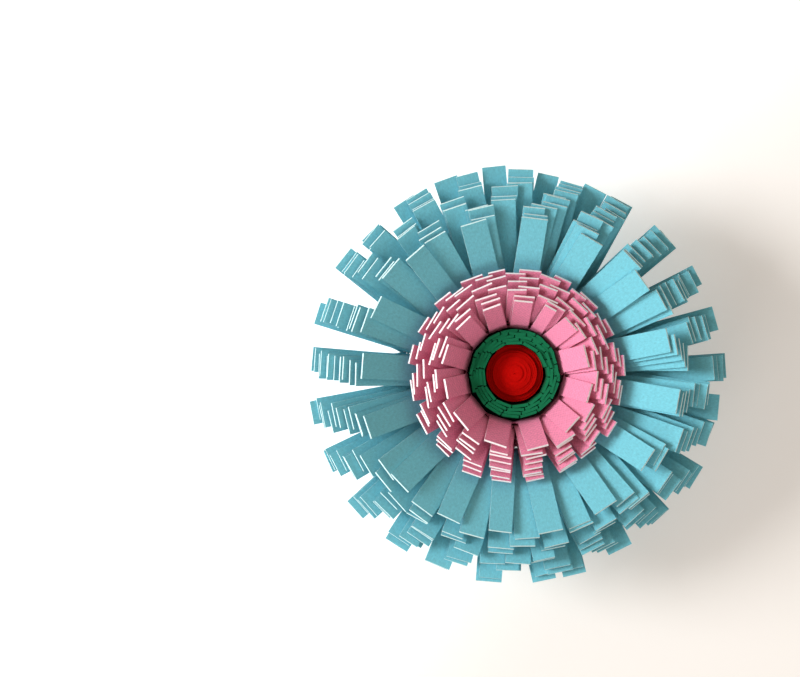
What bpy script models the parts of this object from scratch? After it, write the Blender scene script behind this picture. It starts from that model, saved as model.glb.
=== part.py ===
"""A paper flower on a magnet: one plain coil and three fringed strips of card, wound one round the other.

The origin is the centre of the magnet's back face, +Z points out of the flower's face.
Lengths are in metres, azimuths in degrees anticlockwise from +X as seen from the front.
"""

import math
import random
from dataclasses import dataclass

import bmesh
import bpy
from mathutils import Matrix, Vector

MM = 0.001

# Clearances
GLUE_LINE = 0.05 * MM  # between the magnet's front face and the strips' lower edges
FIT = 0.03 * MM  # between one roll and the roll that it is wound round
AIR = 0.02 * MM  # between one turn of a strip and the next
PETAL_AIR = 0.03 * MM  # between a petal and the petal under it, at the fold

# Magnet
MAGNET_DIAMETER = 18.0 * MM
MAGNET_THICKNESS = 3.0 * MM
MAGNET_BEVEL = 0.3 * MM
MAGNET_SIDES = 36

# Red coil: a plain strip, wound tight and pushed up in the middle
RED_CARD = 0.22 * MM
RED_CORE_RADIUS = 0.35 * MM
RED_TURNS = 12
RED_SIDES = 12
RED_SINK = 2.3 * MM  # from the green teeth's tips down to the coil's rim
RED_STEP = 0.25 * MM
RED_STEP_RADIUS = 2.55 * MM
RED_DOME = 0.35 * MM

# Green strip: short teeth that stand upright
GREEN_CARD = 0.16 * MM
GREEN_SPACING = 2.1 * MM
GREEN_TURNS = 4.5
GREEN_START = 12.0
GREEN_SLIT_WIDTH = 0.14 * MM
GREEN_TOOTH = 3.2 * MM
GREEN_PROUD = 1.5 * MM  # from the pink strip's innermost fold up to the teeth's tips

# Pink strip
PINK_CARD = 0.20 * MM
PINK_SPACING = 2.6 * MM
PINK_TURNS = 8
PINK_PETAL_WIDTH = 2.75 * MM  # the widest that one is cut
PINK_SLIT_WIDTH = 0.16 * MM
PINK_PETAL_LENGTH = 6.0 * MM
PINK_CURVE_LENGTH = 1.0 * MM
PINK_CURVE_LEAN = 20.0
PINK_INNER_LEAN = 57.0
PINK_OUTER_LEAN = 41.0
PINK_FIRST_SLITS = (-2, 31.5, 55, 72.4, 97.8, 123.4, 150.2, 178, 205, 235, 270, 302.6, 333.3)
PINK_SLITS_IN_LINE = (270.5,)  # where each later turn has a slit
PINK_TIP_GAPS = (
    18.5, 35.6, 57.7, 76.5, 97, 119, 138.5, 155.6, 174, 201, 220.5, 241.6, 270.5, 295.5, 317.5, 344,
)
PINK_TIP_CLEARANCE = 0.08 * MM  # from a petal's tip to the middle of the gap beside its bundle
PINK_LOOSE_TURNS = 1.0
PINK_MOST_YAW = 6.0  # how far a petal may be turned sideways at its fold

# Blue strip
BLUE_CARD = 0.20 * MM
BLUE_SPACING = 3.35 * MM
BLUE_TURNS = 12
BLUE_PETAL_WIDTH = 3.1 * MM  # the widest that one is cut
BLUE_SLIT_WIDTH = 0.16 * MM
BLUE_PETAL_LENGTH = 11.7 * MM
BLUE_CURVE_LENGTH = 1.6 * MM
BLUE_CURVE_LEAN = 25.0
BLUE_INNER_LEAN = 34.0
BLUE_OUTER_LEAN = 13.0
BLUE_BAND = 4.95 * MM  # uncut part of the strip, at its outer end
BLUE_FIRST_SLITS = (
    2.3, 24.8, 49.8, 73.7, 94.6, 118.4, 142.8, 165.8,
    188.6, 211.3, 234.3, 254.5, 272.6, 292.7, 314.9, 338.7,
)
BLUE_SLITS_IN_LINE = (36, 169.6)
BLUE_TIP_GAPS = (
    9.8, 22.8, 36, 54.5, 70, 84.6, 99.8, 115, 132, 150.5, 169.6, 185.4,
    200.6, 216.2, 230.8, 244, 259, 274.7, 290, 305, 319, 334, 347, 358,
)
BLUE_TIP_CLEARANCE = 0.3 * MM
BLUE_LOOSE_TURNS = 2.0
BLUE_MOST_YAW = 11.0

# Gathering of the petals into bundles
GATHERING_TURNS = 2.0  # turns after the loose ones over which the bundles form
ROUND_UP = 0.65  # share of a petal that makes a stretch between two slits in line hold one more
SPREAD = 1.18  # the widest slit spacing after the first turn against the usual one

# Unevenness of hand cutting and folding, each way
PINK_UNEVEN_LEAN = 0.5
PINK_UNEVEN_LENGTH = 0.3 * MM
BLUE_UNEVEN_LEAN = 0.8
BLUE_UNEVEN_LENGTH = 0.45 * MM
UNEVEN_YAW = 1.2
UNEVEN_SLIT = 0.08  # share of the spacing by which a slit strays
NARROWEST = 0.90  # the narrowest petal's share of the full width

BOTTOM = MAGNET_THICKNESS + GLUE_LINE


@dataclass
class Petals:
    """How a strip's petals are cut and folded. Leans are degrees above level, from inner to outer end."""

    width: float
    slit_width: float
    length: float
    curve_length: float
    curve_lean: float
    inner_lean: float
    outer_lean: float
    uneven_lean: float
    uneven_length: float
    tip_gaps: tuple
    tip_clearance: float
    loose_turns: float
    most_yaw: float
    seed: int


def matte_material(name, red, green, blue, roughness=0.85, metallic=0.0):
    """A Principled material of one linear colour."""
    material = bpy.data.materials.new(name)
    material.use_nodes = True
    shader = material.node_tree.nodes["Principled BSDF"]
    shader.inputs["Base Color"].default_value = (red, green, blue, 1.0)
    shader.inputs["Roughness"].default_value = roughness
    shader.inputs["Metallic"].default_value = metallic
    material.diffuse_color = (red, green, blue, 1.0)
    return material


def polar(azimuth, radius, height):
    return Vector((radius * math.cos(azimuth), radius * math.sin(azimuth), height))


def between(start, end, share):
    return start + (end - start) * share


class Winding:
    """A strip's slits along its spiral: their azimuths in radians, running on past a turn, and radii."""

    def __init__(self, card, spacing, turns, inside, first_slits, slits_in_line=()):
        self.card = card
        self.spacing = spacing
        self.widest = spacing * SPREAD if slits_in_line else spacing
        self.azimuths = [math.radians(azimuth) for azimuth in first_slits]
        if len(first_slits) > 1:
            self.azimuths.append(self.azimuths[0] + math.tau)
        steps = [b - a for a, b in zip(self.azimuths, self.azimuths[1:])] or [spacing / inside]
        self.radii = [(inside + FIT + card / 2) / math.cos(max(steps) / 2)]
        for a, b in zip(self.azimuths, self.azimuths[1:]):
            self.radii.append(self.radii[-1] + self.pitch(self.radii[-1]) * (b - a) / math.tau)
        first_turn = len(self.azimuths)
        last = self.azimuths[0] + math.tau * turns
        while self.azimuths[-1] < last:
            count, step = self.next_stretch(slits_in_line)
            for _ in range(count):
                if self.azimuths[-1] < last:
                    self.azimuths.append(self.azimuths[-1] + step)
                    self.radii.append(self.radii[-1] + self.pitch(self.radii[-1]) * step / math.tau)
        if slits_in_line:
            self.stray(first_turn)
        self.petals = len(self.azimuths) - 1
        self.reach = self.radii[-1] + card / 2

    def next_stretch(self, slits_in_line):
        """How many petals come before the next slit in line, and the angle from slit to slit."""
        step = self.spacing / self.radii[-1]
        if not slits_in_line:
            return 1, step
        ahead = min(
            (math.radians(azimuth) - self.azimuths[-1] - step / 2) % math.tau for azimuth in slits_in_line
        )
        ahead += step / 2
        count = max(1, math.floor(ahead / step + ROUND_UP))
        return count, ahead / count

    def stray(self, first):
        """Moves each slit from the first one given a little along the strip, but not the strip's end."""
        chance = random.Random(len(self.azimuths))
        for index in range(first, len(self.azimuths) - 1):
            step = self.spacing / self.radii[index]
            self.azimuths[index] += chance.uniform(-1, 1) * UNEVEN_SLIT * step

    def sag(self, radius):
        """How far the middle of a straight side lies inside the circle through its ends."""
        return self.widest**2 / (8 * radius)

    def pitch(self, radius):
        """Radial step from one turn to the next, with the sides' sag allowed for."""
        return self.card + self.sag(radius) + AIR

    def share(self, index):
        """How far along the strip a slit lies, from 0 at the inner end to 1 at the outer end."""
        return (self.azimuths[index] - self.azimuths[0]) / (self.azimuths[-1] - self.azimuths[0])

    def turn(self, index):
        return (self.azimuths[index] - self.azimuths[0]) / math.tau

    def rise(self, radius, lean):
        """How much higher a fold lies than the fold one turn further out, so that the petals stack."""
        thickness = self.card / math.cos(lean)
        if lean >= 0:
            return max(0.0, thickness - (self.pitch(radius) - self.sag(radius)) * math.tan(lean) + PETAL_AIR)
        return thickness - self.pitch(radius) * math.tan(lean) + PETAL_AIR

    def fold_heights(self, outermost, inner_lean, outer_lean):
        """Height of the fold at each slit, worked inwards from the outermost fold."""
        heights = [outermost]
        for index in range(self.petals - 1, -1, -1):
            lean = math.radians(between(inner_lean, outer_lean, self.share(index)))
            step = (self.azimuths[index + 1] - self.azimuths[index]) / math.tau
            heights.append(heights[-1] + self.rise(self.radii[index], lean) * step)
        return heights[::-1]


def flat_strip(columns, rows, slit_from):
    """A strip of quads in the XY plane, slit between its columns above the row slit_from."""
    strip = bmesh.new()
    bmesh.ops.create_grid(strip, x_segments=columns, y_segments=rows, size=0.5)
    slits = []
    for edge in strip.edges:
        lowest = min(vertex.co.y for vertex in edge.verts)
        upright = abs(edge.verts[0].co.x - edge.verts[1].co.x) < 0.5 / columns
        inside = len(edge.link_faces) == 2
        if upright and inside and round((lowest + 0.5) * rows) >= slit_from:
            slits.append(edge)
    bmesh.ops.split_edges(strip, edges=slits)
    return strip


def places_on(strip, columns, rows):
    """For each vertex: its column line, its row line and the column that its faces belong to."""
    places = {}
    for vertex in strip.verts:
        column = round((vertex.co.x + 0.5) * columns)
        row = round((vertex.co.y + 0.5) * rows)
        faces = [face.calc_center_median().x for face in vertex.link_faces]
        places[vertex] = (column, row, math.floor((sum(faces) / len(faces) + 0.5) * columns))
    return places


def wound(name, strip, targets, card, material, collection):
    """The object whose sheet has its vertices at their targets, thickened equally to both sides."""
    for vertex, target in targets.items():
        vertex.co = target
    mesh = bpy.data.meshes.new(name)
    strip.to_mesh(mesh)
    strip.free()
    mesh.materials.append(material)
    obj = bpy.data.objects.new(name, mesh)
    collection.objects.link(obj)
    thickness = obj.modifiers.new("card", "SOLIDIFY")
    thickness.thickness = card
    thickness.offset = 0.0
    thickness.use_even_offset = True
    thickness.use_rim = True
    return obj


def bundle_round(azimuth, tip_gaps):
    """The two gaps, in radians, between which an azimuth lies."""
    gaps = [math.radians(gap) for gap in tip_gaps]
    turns = math.floor((azimuth - gaps[0]) / math.tau) * math.tau
    gaps = [gap + turns for gap in gaps] + [gaps[0] + turns + math.tau]
    for start, end in zip(gaps, gaps[1:]):
        if start <= azimuth < end:
            return start, end
    return gaps[-2], gaps[-1]


def tip_azimuth(root, index, winding, petals, tip_radius, width):
    """Where a petal's tip points, clear of the gaps beside its bundle once the bundles have formed."""
    half = (width / 2 + petals.tip_clearance) / tip_radius
    start, end = bundle_round(root, petals.tip_gaps)
    inside = (start + end) / 2
    if end - start > 2 * half:
        inside = min(max(root, start + half), end - half)
    formed = (winding.turn(index) - petals.loose_turns) / GATHERING_TURNS
    return between(root, inside, min(1.0, max(0.0, formed)))


def along(start, heading, lean, distance):
    """The point a distance from the start, along a level heading tilted up by the lean."""
    return start + heading * (math.cos(lean) * distance) + Vector((0, 0, math.sin(lean) * distance))


def corners(middle, heading, width):
    """The two ends of a petal's level cross line."""
    across = Vector((-heading.y, heading.x, 0)) * (width / 2)
    return [middle - across, middle + across]


def folded_petal(left, right, index, winding, petals, chance, neighbour):
    """A petal's four free corners, at its curve's end and its tip, and the azimuth of its tip's far edge."""
    chord = right - left
    outward = Vector((chord.y, -chord.x, 0)).normalized()
    length = petals.length + chance.uniform(-1, 1) * petals.uneven_length
    width = min(petals.width, chord.length - petals.slit_width) * chance.uniform(NARROWEST, 1)
    lean = between(petals.inner_lean, petals.outer_lean, winding.share(index))
    lean = math.radians(lean + chance.uniform(-1, 1) * petals.uneven_lean)
    steep = lean + math.radians(petals.curve_lean)

    root = (winding.azimuths[index] + winding.azimuths[index + 1]) / 2
    reach = length * math.cos(lean)
    tip_radius = winding.radii[index] + reach
    tip = tip_azimuth(root, index, winding, petals, tip_radius, width)
    tip += math.radians(chance.uniform(-1, 1) * UNEVEN_YAW) * reach / tip_radius
    tip = max(tip, neighbour + (width / 2 + petals.slit_width) / tip_radius)
    yaw = (tip - root) * tip_radius / reach
    most_yaw = math.radians(petals.most_yaw)
    yaw = max(-most_yaw, min(most_yaw, yaw))
    far_edge = root + yaw * reach / tip_radius + width / 2 / tip_radius

    half_turned = Matrix.Rotation(yaw / 2, 3, "Z") @ outward
    turned = Matrix.Rotation(yaw, 3, "Z") @ outward
    curve_end = along((left + right) / 2, half_turned, steep, petals.curve_length)
    tip_middle = along(curve_end, turned, lean, length - petals.curve_length)
    return corners(curve_end, half_turned, width) + corners(tip_middle, turned, width), far_edge


def fringed_roll(name, winding, folds, petals, material, collection):
    """A strip whose upper part is cut into petals, wound up with each petal folded outwards."""
    chance = random.Random(petals.seed)
    columns, rows = winding.petals, 3
    strip = flat_strip(columns, rows, slit_from=1)
    fold_line = [polar(*place) for place in zip(winding.azimuths, winding.radii, folds)]
    free_corners = []
    neighbour = -math.inf
    for index in range(columns):
        left, right = fold_line[index], fold_line[index + 1]
        ends, neighbour = folded_petal(left, right, index, winding, petals, chance, neighbour)
        free_corners.append(ends)
    targets = {}
    for vertex, (column, row, petal) in places_on(strip, columns, rows).items():
        if row == 0:
            targets[vertex] = polar(winding.azimuths[column], winding.radii[column], BOTTOM)
        elif row == 1:
            targets[vertex] = fold_line[column]
        else:
            targets[vertex] = free_corners[petal][2 * (row - 2) + column - petal]
    return wound(name, strip, targets, winding.card, material, collection)


def toothed_roll(name, winding, top, tooth, slit_width, material, collection):
    """A strip with short upright teeth, wound up and left unfolded."""
    columns, rows = winding.petals, 2
    strip = flat_strip(columns, rows, slit_from=1)
    targets = {}
    for vertex, (column, row, tooth_column) in places_on(strip, columns, rows).items():
        corner = polar(winding.azimuths[column], winding.radii[column], 0)
        if row == 2:
            other = column - 1 if column > tooth_column else column + 1
            along = polar(winding.azimuths[other], winding.radii[other], 0) - corner
            corner += along.normalized() * (slit_width / 2)
        corner.z = (BOTTOM, top - tooth, top)[row]
        targets[vertex] = corner
    return wound(name, strip, targets, winding.card, material, collection)


def coil_radii(card, core_radius, turns, sides):
    """Radii of a plain coil whose corners line up from turn to turn."""
    pitch = (card + AIR) / math.cos(math.pi / sides)
    return [core_radius + pitch * index / sides for index in range(turns * sides + 1)]


def plain_coil(name, radii, sides, rim_height, material, collection):
    """A plain strip wound tight, its middle pushed up in a step and a shallow dome."""
    columns = len(radii) - 1
    strip = flat_strip(columns, rows=1, slit_from=1)
    targets = {}
    for vertex, (column, row, _) in places_on(strip, columns, 1).items():
        height = BOTTOM
        if row == 1:
            height = rim_height + RED_DOME * (1 - (radii[column] / radii[-1]) ** 2)
            if radii[column] < RED_STEP_RADIUS:
                height += RED_STEP
        targets[vertex] = polar(math.tau * column / sides, radii[column], height)
    return wound(name, strip, targets, RED_CARD, material, collection)


def disc_magnet(name, material, collection):
    bpy.ops.mesh.primitive_cylinder_add(
        vertices=MAGNET_SIDES,
        radius=MAGNET_DIAMETER / 2,
        depth=MAGNET_THICKNESS,
        location=(0, 0, MAGNET_THICKNESS / 2),
    )
    obj = bpy.context.object
    obj.name = name
    obj.data.name = name
    for owner in list(obj.users_collection):
        owner.objects.unlink(obj)
    collection.objects.link(obj)
    obj.data.materials.append(material)
    bevel = obj.modifiers.new("edge", "BEVEL")
    bevel.width = MAGNET_BEVEL
    bevel.segments = 1
    bevel.limit_method = "ANGLE"
    obj.data.shade_smooth()
    obj.data.set_sharp_from_angle(angle=math.radians(40))
    return obj


def clear_scene():
    for obj in list(bpy.data.objects):
        bpy.data.objects.remove(obj, do_unlink=True)


def build():
    clear_scene()
    flower = bpy.data.collections.new("paper_flower_magnet")
    bpy.context.scene.collection.children.link(flower)

    red_radii = coil_radii(RED_CARD, RED_CORE_RADIUS, RED_TURNS, RED_SIDES)
    red_reach = red_radii[-1] + RED_CARD / 2
    green = Winding(GREEN_CARD, GREEN_SPACING, GREEN_TURNS, red_reach, [GREEN_START])
    pink = Winding(PINK_CARD, PINK_SPACING, PINK_TURNS, green.reach, PINK_FIRST_SLITS, PINK_SLITS_IN_LINE)
    blue = Winding(BLUE_CARD, BLUE_SPACING, BLUE_TURNS, pink.reach, BLUE_FIRST_SLITS, BLUE_SLITS_IN_LINE)

    blue_folds = blue.fold_heights(BOTTOM + BLUE_BAND, BLUE_INNER_LEAN, BLUE_OUTER_LEAN)
    pink_outermost = blue_folds[0] + BLUE_CARD + PINK_CARD + PETAL_AIR
    pink_folds = pink.fold_heights(pink_outermost, PINK_INNER_LEAN, PINK_OUTER_LEAN)
    green_top = pink_folds[0] + GREEN_PROUD
    red_rim = green_top - RED_SINK

    pink_petals = Petals(
        width=PINK_PETAL_WIDTH,
        slit_width=PINK_SLIT_WIDTH,
        length=PINK_PETAL_LENGTH,
        curve_length=PINK_CURVE_LENGTH,
        curve_lean=PINK_CURVE_LEAN,
        inner_lean=PINK_INNER_LEAN,
        outer_lean=PINK_OUTER_LEAN,
        uneven_lean=PINK_UNEVEN_LEAN,
        uneven_length=PINK_UNEVEN_LENGTH,
        tip_gaps=PINK_TIP_GAPS,
        tip_clearance=PINK_TIP_CLEARANCE,
        loose_turns=PINK_LOOSE_TURNS,
        most_yaw=PINK_MOST_YAW,
        seed=5,
    )
    blue_petals = Petals(
        width=BLUE_PETAL_WIDTH,
        slit_width=BLUE_SLIT_WIDTH,
        length=BLUE_PETAL_LENGTH,
        curve_length=BLUE_CURVE_LENGTH,
        curve_lean=BLUE_CURVE_LEAN,
        inner_lean=BLUE_INNER_LEAN,
        outer_lean=BLUE_OUTER_LEAN,
        uneven_lean=BLUE_UNEVEN_LEAN,
        uneven_length=BLUE_UNEVEN_LENGTH,
        tip_gaps=BLUE_TIP_GAPS,
        tip_clearance=BLUE_TIP_CLEARANCE,
        loose_turns=BLUE_LOOSE_TURNS,
        most_yaw=BLUE_MOST_YAW,
        seed=7,
    )

    ferrite = matte_material("ferrite", 0.03, 0.03, 0.032, roughness=0.55)
    red_paper = matte_material("red_paper", 0.72, 0.02, 0.01)
    green_paper = matte_material("green_paper", 0.01, 0.27, 0.12)
    pink_paper = matte_material("pink_paper", 0.72, 0.26, 0.40)
    blue_paper = matte_material("blue_paper", 0.13, 0.48, 0.58)

    disc_magnet("magnet", ferrite, flower)
    plain_coil("red_coil", red_radii, RED_SIDES, red_rim, red_paper, flower)
    toothed_roll("green_fringe", green, green_top, GREEN_TOOTH, GREEN_SLIT_WIDTH, green_paper, flower)
    fringed_roll("pink_fringe", pink, pink_folds, pink_petals, pink_paper, flower)
    fringed_roll("blue_fringe", blue, blue_folds, blue_petals, blue_paper, flower)


build()
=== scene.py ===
"""The paper flower magnet seen from the front.

The strips are wound, slit and folded as in the model, with soft folds, cut edges and grain.
"""

import math
import random
from dataclasses import dataclass

import bmesh
import bpy
from mathutils import Matrix, Vector


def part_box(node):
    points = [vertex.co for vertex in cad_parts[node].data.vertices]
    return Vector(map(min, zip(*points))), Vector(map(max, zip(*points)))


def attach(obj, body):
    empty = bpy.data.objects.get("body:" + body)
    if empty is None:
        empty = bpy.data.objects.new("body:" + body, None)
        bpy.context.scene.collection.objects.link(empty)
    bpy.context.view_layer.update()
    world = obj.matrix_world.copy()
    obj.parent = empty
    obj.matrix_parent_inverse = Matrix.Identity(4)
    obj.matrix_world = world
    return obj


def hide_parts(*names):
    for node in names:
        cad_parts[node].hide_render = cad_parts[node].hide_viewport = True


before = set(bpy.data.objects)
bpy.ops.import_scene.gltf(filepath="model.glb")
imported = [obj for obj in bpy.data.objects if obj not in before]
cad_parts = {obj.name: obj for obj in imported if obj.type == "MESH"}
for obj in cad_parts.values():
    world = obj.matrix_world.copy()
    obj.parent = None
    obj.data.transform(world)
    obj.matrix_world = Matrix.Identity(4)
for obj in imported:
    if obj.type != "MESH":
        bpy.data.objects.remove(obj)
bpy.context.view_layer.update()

MM = 0.001

# Clearances of the wound rolls
FIT = 0.03 * MM
AIR = 0.02 * MM
PETAL_AIR = 0.03 * MM
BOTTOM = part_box("blue_fringe")[0].z

# Red coil
RED_CARD = 0.22 * MM
RED_CORE_RADIUS = 0.35 * MM
RED_TURNS = 12
RED_SIDES = 12
RED_FINE_SIDES = 56
RED_INNERMOST_STEP = -74  # the visible strip winds on inwards until its core closes
RED_END_STEPS = 20  # and its outer end lies on the turn below it
RED_SINK = 2.3 * MM
RED_STEP = 0.25 * MM
RED_STEP_RADIUS = 2.55 * MM
RED_DOME = 0.35 * MM
RED_UNEVEN_HEIGHT = 0.08 * MM
RED_SPARE_TURNS = 4  # uneven heights beyond one a turn, for both ends of the visible strip
RED_LOOSE_SINK = 0.2 * MM  # how much deeper the loose outer turns lie than the model's

# Green strip
GREEN_CARD = 0.16 * MM
GREEN_SPACING = 2.1 * MM
GREEN_TURNS = 4.5
GREEN_START = 12.0
GREEN_SLIT_WIDTH = 0.14 * MM
GREEN_TOOTH = 3.2 * MM
GREEN_PROUD = 1.5 * MM
GREEN_UNEVEN_HEIGHT = 0.12 * MM

# Pink strip
PINK_CARD = 0.20 * MM
PINK_SPACING = 2.6 * MM
PINK_TURNS = 8
PINK_PETAL_WIDTH = 2.75 * MM  # the widest that one is cut
PINK_SLIT_WIDTH = 0.16 * MM
PINK_PETAL_LENGTH = 6.0 * MM
PINK_CURVE_LENGTH = 1.0 * MM
PINK_CURVE_LEAN = 20.0
PINK_INNER_LEAN = 57.0
PINK_OUTER_LEAN = 41.0
PINK_FIRST_SLITS = (-2, 31.5, 55, 72.4, 97.8, 123.4, 150.2, 178, 205, 235, 270, 302.6, 333.3)
PINK_SLITS_IN_LINE = (270.5,)  # where each later turn has a slit
PINK_TIP_GAPS = (
    18.5, 35.6, 57.7, 76.5, 97, 119, 138.5, 155.6, 174, 201, 220.5, 241.6, 270.5, 295.5, 317.5, 344,
)
PINK_TIP_CLEARANCE = 0.08 * MM  # from a petal's tip to the middle of the gap beside its bundle
PINK_LOOSE_TURNS = 1.0
PINK_MOST_YAW = 6.0  # how far a petal may be turned sideways at its fold

# Blue strip
BLUE_CARD = 0.20 * MM
BLUE_SPACING = 3.35 * MM
BLUE_TURNS = 12
BLUE_PETAL_WIDTH = 3.1 * MM  # the widest that one is cut
BLUE_SLIT_WIDTH = 0.16 * MM
BLUE_PETAL_LENGTH = 11.7 * MM
BLUE_CURVE_LENGTH = 1.6 * MM
BLUE_CURVE_LEAN = 25.0
BLUE_INNER_LEAN = 34.0
BLUE_OUTER_LEAN = 13.0
BLUE_BAND = 4.95 * MM  # uncut part of the strip, at its outer end
BLUE_FIRST_SLITS = (
    2.3, 24.8, 49.8, 73.7, 94.6, 118.4, 142.8, 165.8,
    188.6, 211.3, 234.3, 254.5, 272.6, 292.7, 314.9, 338.7,
)
BLUE_SLITS_IN_LINE = (36, 169.6)
BLUE_TIP_GAPS = (
    9.8, 22.8, 36, 54.5, 70, 84.6, 99.8, 115, 132, 150.5, 169.6, 185.4,
    200.6, 216.2, 230.8, 244, 259, 274.7, 290, 305, 319, 334, 347, 358,
)
BLUE_TIP_CLEARANCE = 0.3 * MM
BLUE_LOOSE_TURNS = 2.0
BLUE_MOST_YAW = 11.0

# Gathering of the petals into bundles
GATHERING_TURNS = 2.0  # turns after the loose ones over which the bundles form
ROUND_UP = 0.65  # share of a petal that makes a stretch between two slits in line hold one more
SPREAD = 1.18  # the widest slit spacing after the first turn against the usual one

# Unevenness of hand cutting and folding, each way
PINK_UNEVEN_LEAN = 0.5
PINK_UNEVEN_LENGTH = 0.3 * MM
BLUE_UNEVEN_LEAN = 0.8
BLUE_UNEVEN_LENGTH = 0.45 * MM
UNEVEN_YAW = 1.2
UNEVEN_SLIT = 0.08  # share of the spacing by which a slit strays
NARROWEST = 0.90  # the narrowest petal's share of the full width

# Fine form of the card, beyond the model's straight folds
BLUE_THICK = 1.35  # the visible card at a petal's tip against the model's clearance thickness
PINK_THICK = 1.25
RED_THICK = 1.12
GREEN_THICK = 2.2
GREEN_LINE = 0.13 * MM  # gap left between the outer teeth's tips and the pink wall round them
GREEN_MOST_SPLAY = 0.26 * MM  # how far outwards a tooth's tip may lean
GREEN_STRAIGHTNESS = 0.75  # a tooth's wall, from 0 on the spiral to 1 on the straight side
GREEN_OPENING = (0, 0, 0.5, 1)  # share of the slit's width at each row, from the foot up
THICKENING = (1.0, 3.5)  # millimetres beyond the fold between which the card thickens
SHARP_EDGE = 38.0  # degrees; a fold bends less from face to face, a cut edge more
SOFT_FOLD = 0.85 * MM  # length over which a fold's curve dies away
PINK_NARROWING = 0.6 * MM  # length beyond the fold over which a slit opens to its width
BLUE_NARROWING = 1.8 * MM
COLUMNS = 3  # faces across a petal
BAND_ROWS = 3
PETAL_ROWS = (0.02, 0.045, 0.075, 0.11, 0.155, 0.22, 0.31, 0.43, 0.57, 0.72, 0.87, 1.0)
UNEVEN_ROLL = 2.5  # degrees that a tip may turn about its own length
UNEVEN_CURL = 2.5  # degrees that a tip may bend up or down
ROLL_SEED = 23
EMBOSS_PITCH = 0.5  # millimetres from line to line of the pink card's embossed grid, whose light and shade is painted into its colour
FOLD_SHADE_SPAN = (0.5, 2.2)  # millimetres beyond the fold over which the painted shade at a slit's end fades to the core's own colour

# Grain of the card, by its map in millimetres
FLOCKS_SCALE = 2.6
FIBRE_SCALES = (9.0, 2.2, 1.0)
NOISE_SPAN = (0.3, 0.7)  # the part of a noise's range that makes the whole change of colour
TOOTH_HEIGHT = 0.02 * MM

# Ferrite
FERRITE_DARK = (0.018, 0.018, 0.02, 1.0)
FERRITE_PALE = (0.06, 0.06, 0.065, 1.0)
FERRITE_SCALE = 2500.0
PIT_DEPTH = 0.03 * MM

# View
CAMERA_HEIGHT = 250 * MM
CAMERA_OFFSET = (-13.7 * MM, 4.2 * MM)
FIELD_WIDTH = 96.4 * MM  # width seen at the level of the outer tips
TIP_LEVEL = 9 * MM

# Floor: painted shade turns it from white to pale grey along a slanting direction, over this range
FLOOR_SIZE = 4.0
FLOOR_WHITE = (252, 252, 252)
FLOOR_PAINTED_SHADE = (226, 223, 219)
FLOOR_SHADE_DIRECTION = (0.8, -0.6, 0.0)
FLOOR_SHADE_RANGE = (-14 * MM, 26 * MM)
FLOOR_GLOW = (0.34, 0.22)  # at the white end and at the grey end, where the camera sees it; its fall towards the grey end is painted shade

# Light
LAMP_DISTANCE = 0.69  # metres
LAMP_SIZE = 0.30
LAMPS = (  # name, azimuth and elevation in degrees, watts, colour
    ("window", 172, 31, 4.7, (0.98, 0.99, 1.0)),
    ("side_window", 240, 30, 1.2, (0.97, 0.98, 1.0)),
)
ROOM_PALE_SIDE = (0.85, 0.1, -0.5)
ROOM_RANGE = (-0.6, 0.8)  # how far towards the pale side, from all dim to all pale
ROOM_DIM = (0.42, 0.34, 0.27)
ROOM_PALE = (0.66, 0.60, 0.54)


@dataclass
class Petals:
    """How a strip's petals are cut and folded. Leans are degrees above level."""

    width: float
    slit_width: float
    length: float
    curve_length: float
    narrowing: float
    curve_lean: float
    inner_lean: float
    outer_lean: float
    uneven_lean: float
    uneven_length: float
    tip_gaps: tuple
    tip_clearance: float
    loose_turns: float
    most_yaw: float
    seed: int


def polar(azimuth, radius, height):
    return Vector((radius * math.cos(azimuth), radius * math.sin(azimuth), height))


def between(start, end, share):
    return start + (end - start) * share


def smooth(share):
    share = max(0.0, min(1.0, share))
    return share * share * (3 - 2 * share)


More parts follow.
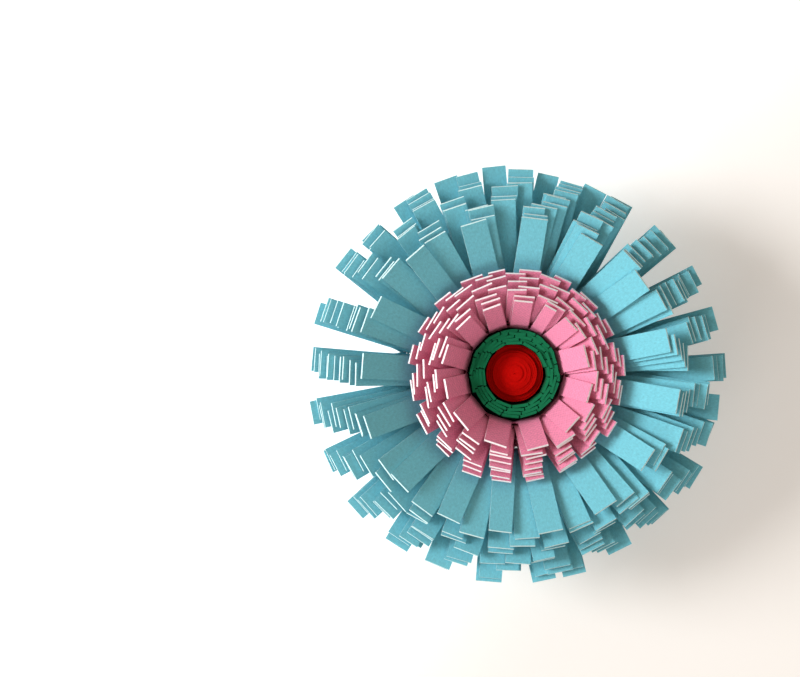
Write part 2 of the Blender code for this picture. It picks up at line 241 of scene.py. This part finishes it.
class Winding:
    """A strip's slits along its spiral: radii, and azimuths in radians that run on past a turn."""

    def __init__(self, card, spacing, turns, inside, first_slits, slits_in_line=()):
        self.card = card
        self.spacing = spacing
        self.widest = spacing * SPREAD if slits_in_line else spacing
        self.azimuths = [math.radians(azimuth) for azimuth in first_slits]
        if len(first_slits) > 1:
            self.azimuths.append(self.azimuths[0] + math.tau)
        steps = [b - a for a, b in zip(self.azimuths, self.azimuths[1:])] or [spacing / inside]
        self.radii = [(inside + FIT + card / 2) / math.cos(max(steps) / 2)]
        for a, b in zip(self.azimuths, self.azimuths[1:]):
            self.radii.append(self.radii[-1] + self.pitch(self.radii[-1]) * (b - a) / math.tau)
        first_turn = len(self.azimuths)
        last = self.azimuths[0] + math.tau * turns
        while self.azimuths[-1] < last:
            count, step = self.next_stretch(slits_in_line)
            for _ in range(count):
                if self.azimuths[-1] < last:
                    self.azimuths.append(self.azimuths[-1] + step)
                    self.radii.append(self.radii[-1] + self.pitch(self.radii[-1]) * step / math.tau)
        if slits_in_line:
            self.stray(first_turn)
        self.petals = len(self.azimuths) - 1
        self.reach = self.radii[-1] + card / 2

    def next_stretch(self, slits_in_line):
        """How many petals come before the next slit in line, and the angle from slit to slit."""
        step = self.spacing / self.radii[-1]
        if not slits_in_line:
            return 1, step
        ahead = min(
            (math.radians(azimuth) - self.azimuths[-1] - step / 2) % math.tau
            for azimuth in slits_in_line
        )
        ahead += step / 2
        count = max(1, math.floor(ahead / step + ROUND_UP))
        return count, ahead / count

    def stray(self, first):
        """Moves each slit from the first one given a little along the strip, but not the strip's end."""
        chance = random.Random(len(self.azimuths))
        for index in range(first, len(self.azimuths) - 1):
            step = self.spacing / self.radii[index]
            self.azimuths[index] += chance.uniform(-1, 1) * UNEVEN_SLIT * step

    def sag(self, radius):
        """How far the middle of a straight side lies inside the circle through its ends."""
        return self.widest**2 / (8 * radius)

    def pitch(self, radius):
        """Radial step from one turn to the next, with the sides' sag allowed for."""
        return self.card + self.sag(radius) + AIR

    def share(self, index):
        """How far along the strip a slit lies, from 0 at the inner end to 1 at the outer end."""
        return (self.azimuths[index] - self.azimuths[0]) / (self.azimuths[-1] - self.azimuths[0])

    def turn(self, index):
        return (self.azimuths[index] - self.azimuths[0]) / math.tau

    def rise(self, radius, lean):
        """How much higher a fold lies than the fold one turn further out, so that the petals stack."""
        thickness = self.card / math.cos(lean)
        nearest = self.pitch(radius) - self.sag(radius)
        return max(0.0, thickness - nearest * math.tan(lean) + PETAL_AIR)

    def fold_heights(self, outermost, inner_lean, outer_lean):
        """Height of the fold at each slit, worked inwards from the outermost fold."""
        heights = [outermost]
        for index in range(self.petals - 1, -1, -1):
            lean = math.radians(between(inner_lean, outer_lean, self.share(index)))
            step = (self.azimuths[index + 1] - self.azimuths[index]) / math.tau
            heights.append(heights[-1] + self.rise(self.radii[index], lean) * step)
        return heights[::-1]

    def wall(self, index, share, straightness):
        """A level point of the wall within one side: on the true spiral, or on the straight side."""
        start = polar(self.azimuths[index], self.radii[index], 0)
        end = polar(self.azimuths[index + 1], self.radii[index + 1], 0)
        azimuth = between(self.azimuths[index], self.azimuths[index + 1], share)
        curved = polar(azimuth, between(self.radii[index], self.radii[index + 1], share), 0)
        return curved.lerp(start.lerp(end, share), straightness)


def bundle_round(azimuth, tip_gaps):
    """The two gaps, in radians, between which an azimuth lies."""
    gaps = [math.radians(gap) for gap in tip_gaps]
    turns = math.floor((azimuth - gaps[0]) / math.tau) * math.tau
    gaps = [gap + turns for gap in gaps] + [gaps[0] + turns + math.tau]
    for start, end in zip(gaps, gaps[1:]):
        if start <= azimuth < end:
            return start, end
    return gaps[-2], gaps[-1]


def tip_azimuth(root, index, winding, petals, tip_radius, width):
    """Where a petal's tip points, clear of the gaps beside its bundle once the bundles have formed."""
    half = (width / 2 + petals.tip_clearance) / tip_radius
    start, end = bundle_round(root, petals.tip_gaps)
    inside = (start + end) / 2
    if end - start > 2 * half:
        inside = min(max(root, start + half), end - half)
    formed = (winding.turn(index) - petals.loose_turns) / GATHERING_TURNS
    return between(root, inside, min(1.0, max(0.0, formed)))


def petal_rows(left, right, index, winding, petals, chance, unevenness, neighbour):
    """Rows of points along one folded petal, each row from the left edge to the right."""
    chord = right - left
    outward = Vector((chord.y, -chord.x, 0)).normalized()
    length = petals.length + chance.uniform(-1, 1) * petals.uneven_length
    width = min(petals.width, chord.length - petals.slit_width) * chance.uniform(NARROWEST, 1)
    lean = between(petals.inner_lean, petals.outer_lean, winding.share(index))
    lean = math.radians(lean + chance.uniform(-1, 1) * petals.uneven_lean)

    root = (winding.azimuths[index] + winding.azimuths[index + 1]) / 2
    reach = length * math.cos(lean)
    tip_radius = winding.radii[index] + reach
    tip = tip_azimuth(root, index, winding, petals, tip_radius, width)
    tip += math.radians(chance.uniform(-1, 1) * UNEVEN_YAW) * reach / tip_radius
    tip = max(tip, neighbour + (width / 2 + petals.slit_width) / tip_radius)
    yaw = (tip - root) * tip_radius / reach
    most_yaw = math.radians(petals.most_yaw)
    yaw = max(-most_yaw, min(most_yaw, yaw))
    far_edge = root + yaw * reach / tip_radius + width / 2 / tip_radius

    roll = math.radians(unevenness.uniform(-1, 1) * UNEVEN_ROLL)
    curl = math.radians(unevenness.uniform(-1, 1) * UNEVEN_CURL)
    # The fold's curve turns as much, summed over its length, as the model's short steep facet.
    steepest = math.radians(petals.curve_lean) * petals.curve_length / SOFT_FOLD
    point = (left + right) / 2
    travelled = 0.0
    rows = []
    for share in PETAL_ROWS:
        step = share * length - travelled
        middle = travelled + step / 2
        tilt = lean + steepest * math.exp(-middle / SOFT_FOLD) + curl * (middle / length) ** 2
        turned = between(0.5, 1.0, smooth(middle / petals.curve_length))
        heading = Matrix.Rotation(yaw * turned, 3, "Z") @ outward
        point = point + heading * (math.cos(tilt) * step) + Vector((0, 0, math.sin(tilt) * step))
        travelled += step
        normal = Vector((-heading.x * math.sin(tilt), -heading.y * math.sin(tilt), math.cos(tilt)))
        across = Vector((-heading.y, heading.x, 0))
        across = across * math.cos(roll * share) + normal * math.sin(roll * share)
        this_width = between(chord.length, width, smooth(travelled / petals.narrowing))
        rows.append([
            point + across * (this_width * (k / COLUMNS - 0.5)) for k in range(COLUMNS + 1)
        ])
    return rows, length, far_edge


class Sheet:
    """A thin sheet built point by point.

    Its map holds each point's place on the flat strip in millimetres, a petal's height from its fold.
    """

    def __init__(self, card):
        self.card = card
        self.mesh = bmesh.new()
        self.places = {}
        self.weights = {}

    def point(self, place, flat, weight):
        vertex = self.mesh.verts.new(place)
        self.places[vertex] = flat
        self.weights[vertex] = weight
        return vertex

    def join_rows(self, lower, upper):
        for k in range(len(lower) - 1):
            self.mesh.faces.new((lower[k], lower[k + 1], upper[k + 1], upper[k]))

    def finish(self, name, thick, face_material, core_material):
        """The piece: the sheet thickened to both sides, with the card's bare core on its cut edges."""
        layer = self.mesh.loops.layers.uv.new("strip")
        for face in self.mesh.faces:
            for loop in face.loops:
                loop[layer].uv = self.places[loop.vert]
        self.mesh.verts.index_update()
        weights = [self.weights[vertex] for vertex in self.mesh.verts]
        mesh = bpy.data.meshes.new(name)
        self.mesh.to_mesh(mesh)
        self.mesh.free()
        mesh.materials.append(face_material)
        mesh.materials.append(core_material)
        obj = bpy.data.objects.new(name, mesh)
        bpy.context.scene.collection.objects.link(obj)
        group = obj.vertex_groups.new(name="thickness")
        for index, weight in enumerate(weights):
            group.add([index], weight, "REPLACE")
        modifier = obj.modifiers.new("card", "SOLIDIFY")
        modifier.thickness = self.card * thick
        modifier.offset = 0.0
        modifier.use_even_offset = True
        modifier.use_rim = True
        modifier.material_offset_rim = 1
        modifier.vertex_group = group.name
        return applied(obj)


def applied(obj):
    """The object with its modifiers applied, smooth within a fold and sharp at the cut edges."""
    graph = bpy.context.evaluated_depsgraph_get()
    mesh = bpy.data.meshes.new_from_object(obj.evaluated_get(graph))
    old = obj.data
    obj.modifiers.clear()
    obj.vertex_groups.clear()
    obj.data = mesh
    bpy.data.meshes.remove(old)
    mesh.name = obj.name
    mesh.shade_smooth()
    mesh.set_sharp_from_angle(angle=math.radians(SHARP_EDGE))
    return obj


def fringed_piece(name, winding, folds, petals, thick, face_material, core_material):
    """A fringed strip, wound up with each petal folded outwards."""
    chance = random.Random(petals.seed)
    unevenness = random.Random(ROLL_SEED + petals.seed)
    sheet = Sheet(winding.card)
    thin = 1 / thick
    fold_line = [polar(*place) for place in zip(winding.azimuths, winding.radii, folds)]
    seam = None
    neighbour = -math.inf
    for index in range(winding.petals):
        start = index * winding.spacing / MM
        rows = []
        for row in range(BAND_ROWS + 1):
            share = row / BAND_ROWS
            line = []
            for k in range(COLUMNS + 1):
                if k == 0 and seam is not None:
                    line.append(seam[row])
                    continue
                level = winding.wall(index, k / COLUMNS, smooth(share))
                fold = between(folds[index], folds[index + 1], k / COLUMNS)
                level.z = between(BOTTOM, fold, share)
                flat = (start + winding.spacing / MM * k / COLUMNS, (level.z - fold) / MM)
                line.append(sheet.point(level, flat, thin))
            rows.append(line)
        seam = [line[-1] for line in rows]
        left, right = fold_line[index], fold_line[index + 1]
        free_rows, length, neighbour = petal_rows(
            left, right, index, winding, petals, chance, unevenness, neighbour
        )
        for share, points in zip(PETAL_ROWS, free_rows):
            beyond = share * length / MM
            thickened = (beyond - THICKENING[0]) / (THICKENING[1] - THICKENING[0])
            weight = between(thin, 1.0, smooth(thickened))
            rows.append([
                sheet.point(point, (start + winding.spacing / MM * k / COLUMNS, beyond), weight)
                for k, point in enumerate(points)
            ])
        for lower, upper in zip(rows, rows[1:]):
            sheet.join_rows(lower, upper)
    return sheet.finish(name, thick, face_material, core_material)


def chord_radius(winding, azimuth):
    """How far out the first turn's straight sides lie at an azimuth."""
    azimuth = winding.azimuths[0] + (azimuth - winding.azimuths[0]) % math.tau
    index = sum(1 for slit in winding.azimuths[1:] if slit <= azimuth)
    start, end = (polar(winding.azimuths[k], winding.radii[k], 0) for k in (index, index + 1))
    side = end - start
    across = math.cos(azimuth) * side.y - math.sin(azimuth) * side.x
    return abs(start.x * end.y - start.y * end.x) / abs(across)


def spiral_radius(winding, azimuth):
    """How far out the winding lies at an azimuth, which runs on past a turn."""
    for index in range(winding.petals):
        start, end = winding.azimuths[index], winding.azimuths[index + 1]
        if azimuth <= end:
            break
    share = (azimuth - start) / (end - start)
    return between(winding.radii[index], winding.radii[index + 1], share)


def splay(winding, azimuth, around):
    """How far outwards a tooth's tip leans: the outermost turn's fill the room inside the pink wall."""
    first, last = winding.azimuths[0], winding.azimuths[-1]
    innermost = first + (azimuth - first) % math.tau
    outermost = last - (last - azimuth) % math.tau
    outside = spiral_radius(winding, outermost)
    room = chord_radius(around, azimuth) - outside - GREEN_LINE
    room -= (winding.card * GREEN_THICK + around.card) / 2
    inside = spiral_radius(winding, innermost)
    depth = (spiral_radius(winding, azimuth) - inside) / max(outside - inside, winding.card)
    return max(0.0, min(room, GREEN_MOST_SPLAY)) * min(1.0, depth)


def toothed_piece(name, winding, top, around, face_material, core_material):
    """The green strip: short upright teeth between fine slits."""
    unevenness = random.Random(ROLL_SEED)
    sheet = Sheet(winding.card)
    seam = None
    for index in range(winding.petals):
        start = index * winding.spacing / MM
        height = top + unevenness.uniform(-1, 1) * GREEN_UNEVEN_HEIGHT
        levels = (BOTTOM, top - GREEN_TOOTH, between(top - GREEN_TOOTH, top, 0.5), height)
        rows = []
        for row, level in enumerate(levels):
            slit = GREEN_SLIT_WIDTH / 2 * GREEN_OPENING[row]
            line = []
            for k in range(COLUMNS + 1):
                if k == 0 and row < 2 and seam is not None:
                    line.append(seam[row])
                    continue
                share = between(slit / winding.spacing, 1 - slit / winding.spacing, k / COLUMNS)
                place = winding.wall(index, share, GREEN_STRAIGHTNESS)
                if row > 1:
                    azimuth = between(winding.azimuths[index], winding.azimuths[index + 1], share)
                    place *= 1 + splay(winding, azimuth, around) * (row - 1) / 2 / place.length
                place.z = level
                flat = (start + winding.spacing / MM * share, level / MM)
                line.append(sheet.point(place, flat, 1.0))
            rows.append(line)
        seam = [line[-1] for line in rows]
        for lower, upper in zip(rows, rows[1:]):
            sheet.join_rows(lower, upper)
    return sheet.finish(name, GREEN_THICK, face_material, core_material)


def coil_piece(name, rim_height, face_material, core_material):
    """The red coil: a plain strip wound tight, its middle pushed up in a step and a shallow dome."""
    pitch = (RED_CARD + AIR) / math.cos(math.pi / RED_SIDES)
    outer = RED_CORE_RADIUS + pitch * RED_TURNS
    unevenness = random.Random(ROLL_SEED)
    lifts = [
        unevenness.uniform(-1, 1) * RED_UNEVEN_HEIGHT for _ in range(RED_TURNS + RED_SPARE_TURNS)
    ]
    sheet = Sheet(RED_CARD)
    lower, upper = [], []
    travelled = 0.0
    for step in range(RED_INNERMOST_STEP, RED_TURNS * RED_FINE_SIDES + RED_END_STEPS + 1):
        turn = step / RED_FINE_SIDES
        radius = RED_CORE_RADIUS + pitch * min(turn, RED_TURNS)
        height = rim_height + RED_DOME * (1 - (radius / outer) ** 2)
        height += RED_STEP * smooth((RED_STEP_RADIUS + pitch - radius) / pitch)
        height -= RED_LOOSE_SINK * smooth(radius / outer)
        lift = math.floor(turn)
        height += between(lifts[lift], lifts[lift + 1], smooth(turn - lift))
        foot = polar(math.tau * turn, radius, BOTTOM)
        head = polar(math.tau * turn, radius, height)
        lower.append(sheet.point(foot, (travelled / MM, foot.z / MM), 1.0))
        upper.append(sheet.point(head, (travelled / MM, head.z / MM), 1.0))
        travelled += radius * math.tau / RED_FINE_SIDES
    sheet.join_rows(lower, upper)
    return sheet.finish(name, RED_THICK, face_material, core_material)


def linear(red, green, blue):
    """A colour given in 0 to 255 as a screen shows it, in linear values with alpha."""
    def one(value):
        value /= 255
        return value / 12.92 if value <= 0.04045 else ((value + 0.055) / 1.055) ** 2.4
    return (one(red), one(green), one(blue), 1.0)


def colour_mix(nodes, blend_type="MIX"):
    """A node that mixes two colours, wholly unless its factor is linked."""
    mix = nodes.new("ShaderNodeMix")
    mix.data_type = "RGBA"
    mix.blend_type = blend_type
    mix.inputs["Factor"].default_value = 1.0
    return mix


def dyed_card(name, colour, mottling=0.10, fibres=0.08, roughness=0.88, bump=0.25, painted_emboss=0.0):
    """Matt dyed card, whose colour varies in small flocks and along its fibres, with a slight tooth.

    Painted emboss is how strongly a fine embossed grid is painted into the colour as light and shade, as
    a share of the colour.
    """
    material = bpy.data.materials.new(name)
    material.use_nodes = True
    nodes, links = material.node_tree.nodes, material.node_tree.links
    shader = nodes["Principled BSDF"]
    shader.inputs["Roughness"].default_value = roughness
    shader.inputs["Specular IOR Level"].default_value = 0.12
    place = nodes.new("ShaderNodeUVMap")
    place.uv_map = "strip"

    flocks = nodes.new("ShaderNodeTexNoise")
    flocks.inputs["Scale"].default_value = FLOCKS_SCALE
    flocks.inputs["Detail"].default_value = 5.0
    flocks.inputs["Roughness"].default_value = 0.65
    links.new(place.outputs["UV"], flocks.inputs["Vector"])

    stretch = nodes.new("ShaderNodeMapping")
    stretch.inputs["Scale"].default_value = FIBRE_SCALES
    links.new(place.outputs["UV"], stretch.inputs["Vector"])
    grain = nodes.new("ShaderNodeTexNoise")
    grain.inputs["Scale"].default_value = 1.0
    grain.inputs["Detail"].default_value = 3.0
    links.new(stretch.outputs["Vector"], grain.inputs["Vector"])

    lighter = colour_mix(nodes)
    lighter.inputs["A"].default_value = [c * (1 - mottling) for c in colour[:3]] + [1.0]
    lighter.inputs["B"].default_value = [min(1.0, c * (1 + mottling)) for c in colour[:3]] + [1.0]
    spread = nodes.new("ShaderNodeMapRange")
    spread.inputs["From Min"].default_value = NOISE_SPAN[0]
    spread.inputs["From Max"].default_value = NOISE_SPAN[1]
    links.new(flocks.outputs["Fac"], spread.inputs["Value"])
    links.new(spread.outputs["Result"], lighter.inputs["Factor"])

    streaks = nodes.new("ShaderNodeMapRange")
    streaks.inputs["From Min"].default_value = NOISE_SPAN[0]
    streaks.inputs["From Max"].default_value = NOISE_SPAN[1]
    streaks.inputs["To Min"].default_value = 1 - fibres
    streaks.inputs["To Max"].default_value = 1 + fibres
    links.new(grain.outputs["Fac"], streaks.inputs["Value"])
    tinted = colour_mix(nodes, "MULTIPLY")
    links.new(lighter.outputs["Result"], tinted.inputs["A"])
    links.new(streaks.outputs["Result"], tinted.inputs["B"])
    # painted light and shade: the embossed grid is drawn into the colour, not raised
    if painted_emboss:
        emboss_shade_mix = colour_mix(nodes, "MULTIPLY")
        links.new(tinted.outputs["Result"], emboss_shade_mix.inputs["A"])
        links.new(painted_emboss_grid(nodes, links, place, painted_emboss), emboss_shade_mix.inputs["B"])
        links.new(emboss_shade_mix.outputs["Result"], shader.inputs["Base Color"])
    else:
        links.new(tinted.outputs["Result"], shader.inputs["Base Color"])

    tooth = nodes.new("ShaderNodeBump")
    tooth.inputs["Strength"].default_value = bump
    tooth.inputs["Distance"].default_value = TOOTH_HEIGHT
    links.new(grain.outputs["Fac"], tooth.inputs["Height"])
    links.new(tooth.outputs["Normal"], shader.inputs["Normal"])
    return material


def painted_emboss_grid(nodes, links, place, strength):
    """A grid of small pale and dark squares, as an output that multiplies a colour: the painted light and
    shade of an embossed grid.
    """
    split = nodes.new("ShaderNodeSeparateXYZ")
    links.new(place.outputs["UV"], split.inputs["Vector"])
    waves = []
    for axis in ("X", "Y"):
        turned = nodes.new("ShaderNodeMath")
        turned.operation = "MULTIPLY"
        turned.inputs[1].default_value = math.tau / EMBOSS_PITCH
        links.new(split.outputs[axis], turned.inputs[0])
        wave = nodes.new("ShaderNodeMath")
        wave.operation = "SINE"
        links.new(turned.outputs["Value"], wave.inputs[0])
        waves.append(wave)
    both = nodes.new("ShaderNodeMath")
    both.operation = "MULTIPLY"
    for socket, wave in zip(both.inputs, waves):
        links.new(wave.outputs["Value"], socket)
    shade = nodes.new("ShaderNodeMapRange")
    shade.inputs["From Min"].default_value = -1.0
    shade.inputs["To Min"].default_value = 1 - strength
    shade.inputs["To Max"].default_value = 1 + strength
    links.new(both.outputs["Value"], shade.inputs["Value"])
    return shade.outputs["Result"]


def cut_core(name, colour, painted_fold_shade=None):
    """The bare core of the cut card. The painted fold shade, if given, is a darker colour painted as
    shade into a slit's end at the fold.
    """
    material = dyed_card(name, colour, mottling=0.05, fibres=0.04, roughness=0.95, bump=0.4)
    if painted_fold_shade:
        nodes, links = material.node_tree.nodes, material.node_tree.links
        shader = nodes["Principled BSDF"]
        place = nodes.new("ShaderNodeUVMap")
        place.uv_map = "strip"
        split = nodes.new("ShaderNodeSeparateXYZ")
        links.new(place.outputs["UV"], split.inputs["Vector"])
        beyond = nodes.new("ShaderNodeMapRange")
        beyond.inputs["From Min"].default_value = FOLD_SHADE_SPAN[0]
        beyond.inputs["From Max"].default_value = FOLD_SHADE_SPAN[1]
        links.new(split.outputs["Y"], beyond.inputs["Value"])
        # painted shade: the core turns darker towards the fold, where a slit's end lies in shade
        fold_shade_mix = colour_mix(nodes)
        fold_shade_mix.inputs["A"].default_value = painted_fold_shade
        links.new(beyond.outputs["Result"], fold_shade_mix.inputs["Factor"])
        links.new(shader.inputs["Base Color"].links[0].from_socket, fold_shade_mix.inputs["B"])
        links.new(fold_shade_mix.outputs["Result"], shader.inputs["Base Color"])
    return material


def ferrite_material():
    """Sintered ferrite: dark grey, with a fine pitted grain."""
    material = bpy.data.materials.new("ferrite_fine")
    material.use_nodes = True
    nodes, links = material.node_tree.nodes, material.node_tree.links
    shader = nodes["Principled BSDF"]
    shader.inputs["Roughness"].default_value = 0.6
    place = nodes.new("ShaderNodeTexCoord")
    grain = nodes.new("ShaderNodeTexNoise")
    grain.inputs["Scale"].default_value = FERRITE_SCALE
    grain.inputs["Detail"].default_value = 4.0
    links.new(place.outputs["Object"], grain.inputs["Vector"])
    shade = colour_mix(nodes)
    shade.inputs["A"].default_value = FERRITE_DARK
    shade.inputs["B"].default_value = FERRITE_PALE
    links.new(grain.outputs["Fac"], shade.inputs["Factor"])
    links.new(shade.outputs["Result"], shader.inputs["Base Color"])
    pits = nodes.new("ShaderNodeBump")
    pits.inputs["Strength"].default_value = 0.3
    pits.inputs["Distance"].default_value = PIT_DEPTH
    links.new(grain.outputs["Fac"], pits.inputs["Height"])
    links.new(pits.outputs["Normal"], shader.inputs["Normal"])
    return material


def make_floor():
    """A pale sheet, white towards the window and painted a little greyer away from it, as painted shade.
    """
    bpy.ops.mesh.primitive_plane_add(size=FLOOR_SIZE, location=(0, 0, 0))
    floor = bpy.context.object
    floor.name = "floor"
    material = bpy.data.materials.new("pale_sheet")
    material.use_nodes = True
    nodes, links = material.node_tree.nodes, material.node_tree.links
    shader = nodes["Principled BSDF"]
    shader.inputs["Roughness"].default_value = 0.9
    shader.inputs["Specular IOR Level"].default_value = 0.1
    place = nodes.new("ShaderNodeTexCoord")
    away = nodes.new("ShaderNodeVectorMath")
    away.operation = "DOT_PRODUCT"
    away.inputs[1].default_value = FLOOR_SHADE_DIRECTION
    links.new(place.outputs["Object"], away.inputs[0])
    shade = nodes.new("ShaderNodeMapRange")
    shade.interpolation_type = "SMOOTHSTEP"
    shade.inputs["From Min"].default_value = FLOOR_SHADE_RANGE[0]
    shade.inputs["From Max"].default_value = FLOOR_SHADE_RANGE[1]
    links.new(away.outputs["Value"], shade.inputs["Value"])
    # painted shade: the sheet's colour greys away from the window
    floor_shade_mix = colour_mix(nodes)
    floor_shade_mix.inputs["A"].default_value = linear(*FLOOR_WHITE)
    floor_shade_mix.inputs["B"].default_value = linear(*FLOOR_PAINTED_SHADE)
    links.new(shade.outputs["Result"], floor_shade_mix.inputs["Factor"])
    links.new(floor_shade_mix.outputs["Result"], shader.inputs["Base Color"])

    rays = nodes.new("ShaderNodeLightPath")
    seen = rays.outputs["Is Camera Ray"]
    for kind in ("Is Glossy Ray", "Is Transmission Ray"):
        either = nodes.new("ShaderNodeMath")
        either.operation = "MAXIMUM"
        links.new(seen, either.inputs[0])
        links.new(rays.outputs[kind], either.inputs[1])
        seen = either.outputs["Value"]
    # painted shade: the glow that the camera sees also weakens away from the window
    glow = nodes.new("ShaderNodeMapRange")
    glow.inputs["To Min"].default_value = FLOOR_GLOW[0]
    glow.inputs["To Max"].default_value = FLOOR_GLOW[1]
    links.new(shade.outputs["Result"], glow.inputs["Value"])
    strength = nodes.new("ShaderNodeMath")
    strength.operation = "MULTIPLY"
    links.new(glow.outputs["Result"], strength.inputs[0])
    links.new(seen, strength.inputs[1])
    links.new(strength.outputs["Value"], shader.inputs["Emission Strength"])
    shader.inputs["Emission Color"].default_value = (1.0, 1.0, 1.0, 1.0)
    floor.data.materials.append(material)


def area_light(name, azimuth, elevation, watts, colour):
    """A round lamp that shines on the flower from an azimuth and an elevation."""
    light = bpy.data.lights.new(name, "AREA")
    light.shape = "DISK"
    light.size = LAMP_SIZE
    light.energy = watts
    light.color = colour
    obj = bpy.data.objects.new(name, light)
    level = LAMP_DISTANCE * math.cos(elevation)
    obj.location = polar(azimuth, level, LAMP_DISTANCE * math.sin(elevation))
    obj.rotation_euler = (-obj.location).to_track_quat("-Z", "Y").to_euler()
    bpy.context.scene.collection.objects.link(obj)


def light_scene():
    """Two soft windows from the left, in a dim room that is paler low on the right."""
    for name, azimuth, elevation, watts, colour in LAMPS:
        area_light(name, math.radians(azimuth), math.radians(elevation), watts, colour)
    world = bpy.data.worlds.new("room")
    bpy.context.scene.world = world
    world.use_nodes = True
    nodes, links = world.node_tree.nodes, world.node_tree.links
    place = nodes.new("ShaderNodeTexCoord")
    towards = nodes.new("ShaderNodeVectorMath")
    towards.operation = "DOT_PRODUCT"
    towards.inputs[1].default_value = Vector(ROOM_PALE_SIDE).normalized()
    links.new(place.outputs["Generated"], towards.inputs[0])
    near = nodes.new("ShaderNodeMapRange")
    near.inputs["From Min"].default_value = ROOM_RANGE[0]
    near.inputs["From Max"].default_value = ROOM_RANGE[1]
    links.new(towards.outputs["Value"], near.inputs["Value"])
    colour = colour_mix(nodes)
    colour.inputs["A"].default_value = (*ROOM_DIM, 1.0)
    colour.inputs["B"].default_value = (*ROOM_PALE, 1.0)
    links.new(near.outputs["Result"], colour.inputs["Factor"])
    background = nodes["Background"]
    links.new(colour.outputs["Result"], background.inputs["Color"])
    background.inputs["Strength"].default_value = 1.0


def make_camera():
    """A camera that looks straight down, a little to the left of the flower."""
    camera = bpy.data.cameras.new("camera")
    camera.sensor_width = 36.0
    camera.lens = camera.sensor_width * (CAMERA_HEIGHT - TIP_LEVEL) / FIELD_WIDTH
    camera.clip_start = 0.01
    camera.clip_end = 10.0
    obj = bpy.data.objects.new("camera", camera)
    obj.location = (*CAMERA_OFFSET, CAMERA_HEIGHT)
    bpy.context.scene.collection.objects.link(obj)
    bpy.context.scene.camera = obj


def place_piece(piece, node):
    """The piece takes the place of the model's node."""
    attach(piece, "root")
    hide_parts(node)


def build_flower():
    """The four strips, wound from the middle outwards, and the magnet's material."""
    pitch = (RED_CARD + AIR) / math.cos(math.pi / RED_SIDES)
    red_reach = RED_CORE_RADIUS + pitch * RED_TURNS + RED_CARD / 2
    green = Winding(GREEN_CARD, GREEN_SPACING, GREEN_TURNS, red_reach, [GREEN_START])
    pink = Winding(
        PINK_CARD, PINK_SPACING, PINK_TURNS, green.reach, PINK_FIRST_SLITS, PINK_SLITS_IN_LINE
    )
    blue = Winding(
        BLUE_CARD, BLUE_SPACING, BLUE_TURNS, pink.reach, BLUE_FIRST_SLITS, BLUE_SLITS_IN_LINE
    )

    blue_folds = blue.fold_heights(BOTTOM + BLUE_BAND, BLUE_INNER_LEAN, BLUE_OUTER_LEAN)
    pink_outermost = blue_folds[0] + BLUE_CARD + PINK_CARD + PETAL_AIR
    pink_folds = pink.fold_heights(pink_outermost, PINK_INNER_LEAN, PINK_OUTER_LEAN)
    green_top = pink_folds[0] + GREEN_PROUD
    red_rim = green_top - RED_SINK

    pink_petals = Petals(
        width=PINK_PETAL_WIDTH,
        slit_width=PINK_SLIT_WIDTH,
        length=PINK_PETAL_LENGTH,
        curve_length=PINK_CURVE_LENGTH,
        narrowing=PINK_NARROWING,
        curve_lean=PINK_CURVE_LEAN,
        inner_lean=PINK_INNER_LEAN,
        outer_lean=PINK_OUTER_LEAN,
        uneven_lean=PINK_UNEVEN_LEAN,
        uneven_length=PINK_UNEVEN_LENGTH,
        tip_gaps=PINK_TIP_GAPS,
        tip_clearance=PINK_TIP_CLEARANCE,
        loose_turns=PINK_LOOSE_TURNS,
        most_yaw=PINK_MOST_YAW,
        seed=5,
    )
    blue_petals = Petals(
        width=BLUE_PETAL_WIDTH,
        slit_width=BLUE_SLIT_WIDTH,
        length=BLUE_PETAL_LENGTH,
        curve_length=BLUE_CURVE_LENGTH,
        narrowing=BLUE_NARROWING,
        curve_lean=BLUE_CURVE_LEAN,
        inner_lean=BLUE_INNER_LEAN,
        outer_lean=BLUE_OUTER_LEAN,
        uneven_lean=BLUE_UNEVEN_LEAN,
        uneven_length=BLUE_UNEVEN_LENGTH,
        tip_gaps=BLUE_TIP_GAPS,
        tip_clearance=BLUE_TIP_CLEARANCE,
        loose_turns=BLUE_LOOSE_TURNS,
        most_yaw=BLUE_MOST_YAW,
        seed=7,
    )

    blue_card = dyed_card("blue_card", linear(117, 196, 213))
    # the blue and pink cores' fold colours are painted shade at the slits' ends by the fold
    blue_core = cut_core("blue_core", linear(205, 236, 238), painted_fold_shade=linear(84, 146, 158))
    pink_card = dyed_card("pink_card", linear(230, 140, 172), painted_emboss=0.09)
    pink_core = cut_core("pink_core", linear(248, 240, 244), painted_fold_shade=linear(170, 92, 120))
    green_card = dyed_card("green_card", linear(15, 93, 58))
    green_core = cut_core("green_core", linear(20, 118, 78))
    red_card = dyed_card("red_card", linear(216, 6, 2), mottling=0.16)
    red_core = cut_core("red_core", linear(222, 8, 3))

    coil = coil_piece("coil", red_rim, red_card, red_core)
    teeth = toothed_piece("teeth", green, green_top, pink, green_card, green_core)
    inner_petals = fringed_piece(
        "inner_petals", pink, pink_folds, pink_petals, PINK_THICK, pink_card, pink_core
    )
    outer_petals = fringed_piece(
        "outer_petals", blue, blue_folds, blue_petals, BLUE_THICK, blue_card, blue_core
    )
    place_piece(coil, "red_coil")
    place_piece(teeth, "green_fringe")
    place_piece(inner_petals, "pink_fringe")
    place_piece(outer_petals, "blue_fringe")

    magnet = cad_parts["magnet"]
    for slot in magnet.material_slots:
        slot.material = ferrite_material()


bpy.context.scene.view_settings.view_transform = "Standard"
build_flower()
make_floor()
light_scene()
make_camera()
